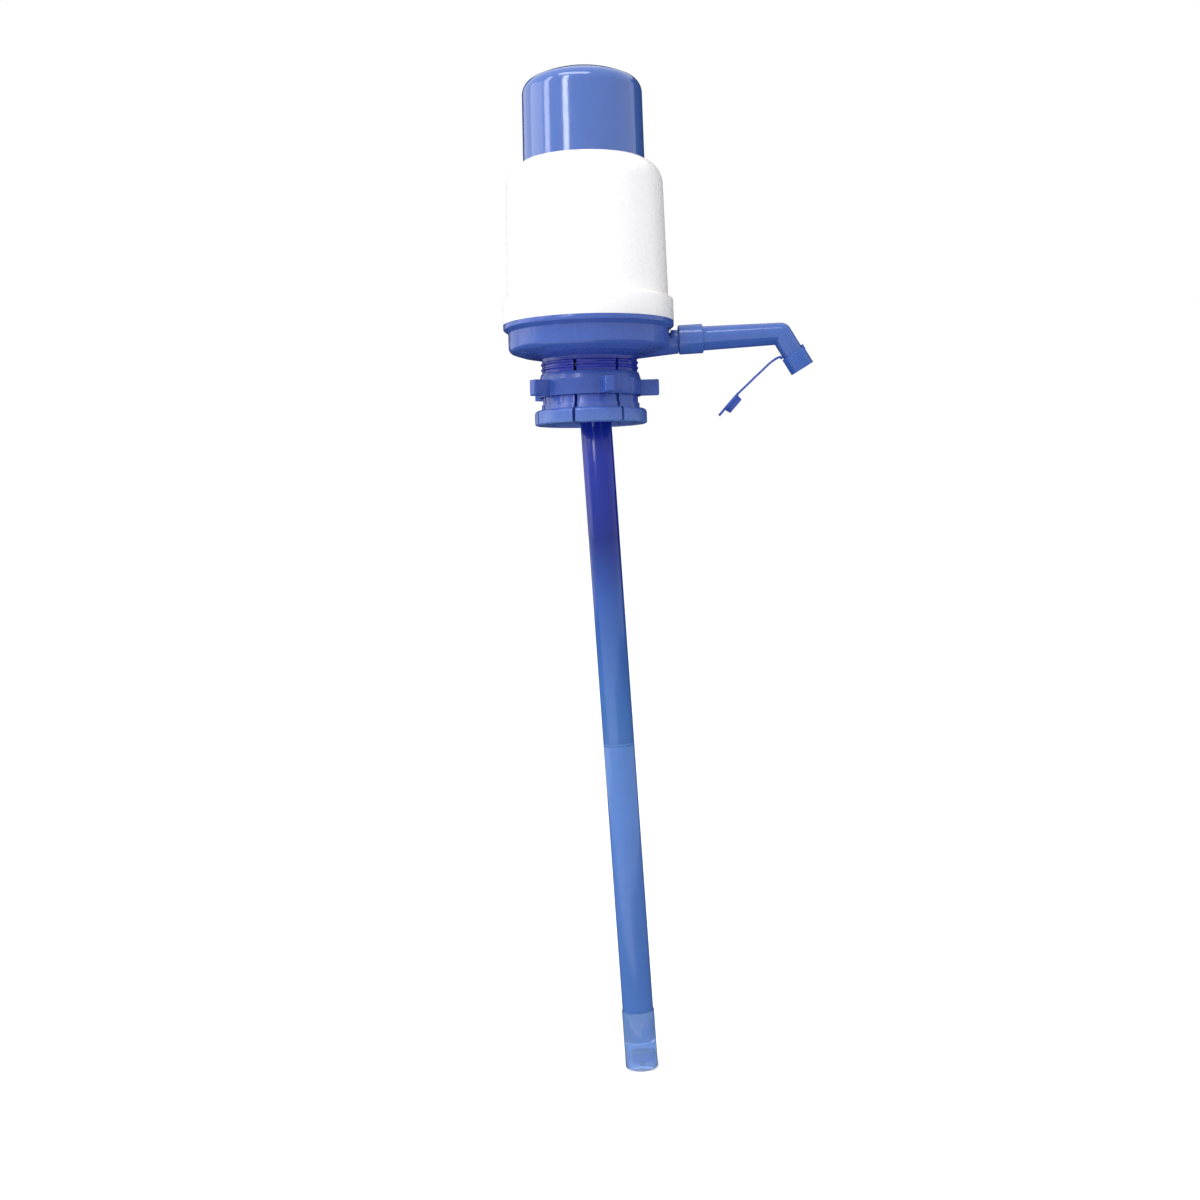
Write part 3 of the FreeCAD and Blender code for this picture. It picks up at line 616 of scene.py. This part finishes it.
def add_world():
    """Soft light from all round that leans to one side, and plain white where it is seen."""
    world = bpy.data.worlds.new("studio")
    bpy.context.scene.world = world
    world.use_nodes = True
    tree = world.node_tree
    tree.nodes.clear()
    lean = tree.nodes.new("ShaderNodeVectorMath")
    lean.operation = "DOT_PRODUCT"
    lean.inputs[1].default_value = SKY_LEAN
    tree.links.new(tree.nodes.new("ShaderNodeTexCoord").outputs["Generated"], lean.inputs[0])
    level = tree.nodes.new("ShaderNodeMath")
    level.operation = "ADD"
    level.inputs[1].default_value = SKY_LEVEL
    tree.links.new(lean.outputs["Value"], level.inputs[0])
    light = tree.nodes.new("ShaderNodeBackground")
    light.inputs["Color"].default_value = SKY_COLOUR
    tree.links.new(level.outputs["Value"], light.inputs["Strength"])
    ground = tree.nodes.new("ShaderNodeBackground")
    ground.inputs["Color"].default_value = WHITE
    ground.inputs["Strength"].default_value = 1.0
    mix = tree.nodes.new("ShaderNodeMixShader")
    tree.links.new(seen_rays(tree), mix.inputs["Fac"])
    tree.links.new(light.outputs["Background"], mix.inputs[1])
    tree.links.new(ground.outputs["Background"], mix.inputs[2])
    out = tree.nodes.new("ShaderNodeOutputWorld")
    tree.links.new(mix.outputs["Shader"], out.inputs["Surface"])


def stage_piece(name, builder, material):
    """A piece of the studio, which isn't part of the object."""
    mesh = bpy.data.meshes.new(name)
    builder.to_mesh(mesh)
    builder.free()
    mesh.materials.append(material)
    piece = bpy.data.objects.new(name, mesh)
    bpy.context.scene.collection.objects.link(piece)
    return piece


def add_floor():
    """A plain pale floor just under the foot."""
    builder = bmesh.new()
    bmesh.ops.create_grid(builder, x_segments=2, y_segments=2, size=FLOOR_HALF)
    shader = Shader("floor_paper", Roughness=0.9, Emission_Color=WHITE)
    seen = seen_rays(shader.tree)
    paper = shader.ramp(shader.noise(PAPER_GRAIN), [(0.3, PAPER_DARK), (0.7, PAPER_LIGHT)])
    tone = shader.add("ShaderNodeMix", data_type="RGBA")
    shader.join(seen, tone.inputs["Factor"])
    tone.inputs[MIX_A].default_value = FLOOR_TONE
    shader.join(paper, tone.inputs[MIX_B])
    shader.join(tone.outputs[MIX_COLOUR], shader.surface.inputs["Base Color"])
    glow = shader.add("ShaderNodeMath", operation="MULTIPLY")
    glow.inputs[1].default_value = FLOOR_GLOW
    shader.join(seen, glow.inputs[0])
    shader.join(glow.outputs["Value"], shader.surface.inputs["Emission Strength"])
    floor = stage_piece("floor", builder, shader.material)
    floor.location.z = cad_box[0][2] - FLOOR_GAP


def add_cloth():
    """A black cloth behind and under the object. Only the object's gloss shows it, as dark edges."""
    low = cad_box[0][2]
    shader = Shader("black_cloth", Roughness=1.0, Specular_IOR_Level=0.0)
    weave = shader.ramp(shader.noise(CLOTH_GRAIN), [(0.3, CLOTH_DARK), (0.7, CLOTH_LIGHT)])
    shader.join(weave, shader.surface.inputs["Base Color"])
    hung = bmesh.new()
    columns = []
    for step in range(CLOTH_STEPS + 1):
        azimuth = CLOTH_FROM + (CLOTH_TO - CLOTH_FROM) * step / CLOTH_STEPS
        columns.append([hung.verts.new(round_place(azimuth, CLOTH_DISTANCE, height))
                        for height in (low, CLOTH_TOP)])
    for left, right in zip(columns, columns[1:]):
        hung.faces.new((left[0], right[0], right[1], left[1]))
    laid = bmesh.new()
    wide = CLOTH_DISTANCE
    outline = [(-wide, -CLOTH_BEFORE), (CLOTH_SPOUT_SIDE, -CLOTH_BEFORE),
               (CLOTH_SPOUT_SIDE, -CLOTH_BEFORE_SPOUT), (wide, -CLOTH_BEFORE_SPOUT),
               (wide, wide), (-wide, wide)]
    laid.faces.new([laid.verts.new((x, y, low)) for x, y in outline])
    for cloth in (stage_piece("cloth_hung", hung, shader.material),
                  stage_piece("cloth_laid", laid, shader.material)):
        cloth.visible_camera = False
        cloth.visible_diffuse = False
        cloth.visible_transmission = False
        cloth.visible_shadow = False


def add_studio():
    """A broad lamp at the upper left, a card at the left, the cap's two streaks, one lamp overhead."""
    key = add_lamp("key", round_place(azimuth=-48, distance=1.6, height=1.0), LIT_POINT,
                   size=(0.9, 0.9), power=6)
    key.visible_glossy = False
    add_lamp("card", round_place(azimuth=-97, distance=1.5, height=0.4), LIT_POINT,
             size=(0.9, 1.0), power=3.8)
    for name, (azimuth, width, power) in STREAKS.items():
        add_lamp("streak_" + name, round_place(azimuth, STREAK_DISTANCE, STREAK_MIDDLE),
                 (0, 0, STREAK_MIDDLE), size=(width, STREAK_TALL), power=power)
        rise = add_lamp("rise_" + name, round_place(azimuth, STREAK_DISTANCE, RISE_MIDDLE),
                        (0, 0, RISE_MIDDLE), size=(width, RISE_TALL),
                        power=power * RISE_TALL / STREAK_TALL)
        rise.visible_diffuse = False
    add_lamp("overhead", (-0.27, -0.73, 1.5), LIT_POINT, size=(1.25, 0.4), power=10)


bpy.context.scene.view_settings.view_transform = "Standard"
add_camera()
add_world()
add_floor()
add_cloth()
add_studio()
materials = make_materials()
dress_nodes(materials)
make_strap(materials["strap_blue"])
make_bellows(materials["bellows_white"])
make_spring(materials["spring_steel"])
